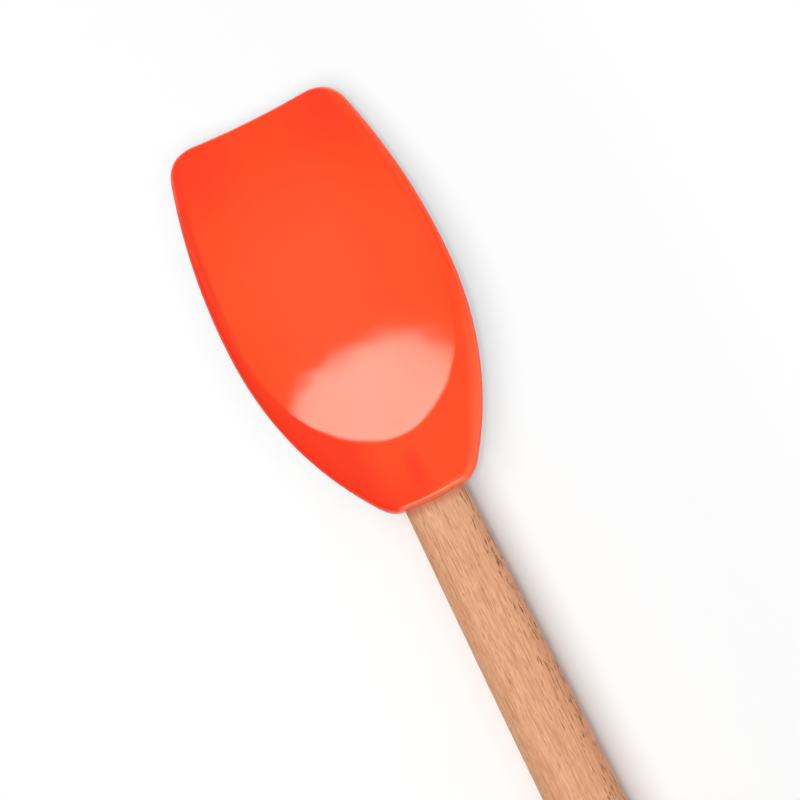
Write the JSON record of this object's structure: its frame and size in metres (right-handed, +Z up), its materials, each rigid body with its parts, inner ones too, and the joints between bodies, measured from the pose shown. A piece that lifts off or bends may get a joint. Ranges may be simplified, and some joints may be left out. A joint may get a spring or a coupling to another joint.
{
  "type": "spoon spatula",
  "caption": "Soft spoon-shaped spatula head with a straight thin tip and shallow bowl, pushed onto a tapered oval wooden handle, for stirring, scooping and scraping.",
  "frame": {"origin": "centre of the bounding box in X and Y, on the table plane under the lowest point", "axes": "+X along the tool from the butt of the handle to the tip of the head, +Z up out of the bowl"},
  "size_m": [0.315, 0.0576, 0.0147],
  "materials": {
    "silicone": "satin moulded silicone rubber, orange red",
    "beech": "sanded and lightly oiled beech"
  },
  "bodies": {
    "handle": {"beech_handle": "beech"},
    "head": {"silicone_head": "silicone"}
  },
  "joints": [
    {"name": "head_pull_off", "type": "slide", "parent": "handle", "child": "head", "axis": [1, 0, 0], "range_m": [0, 0.045]}
  ]
}
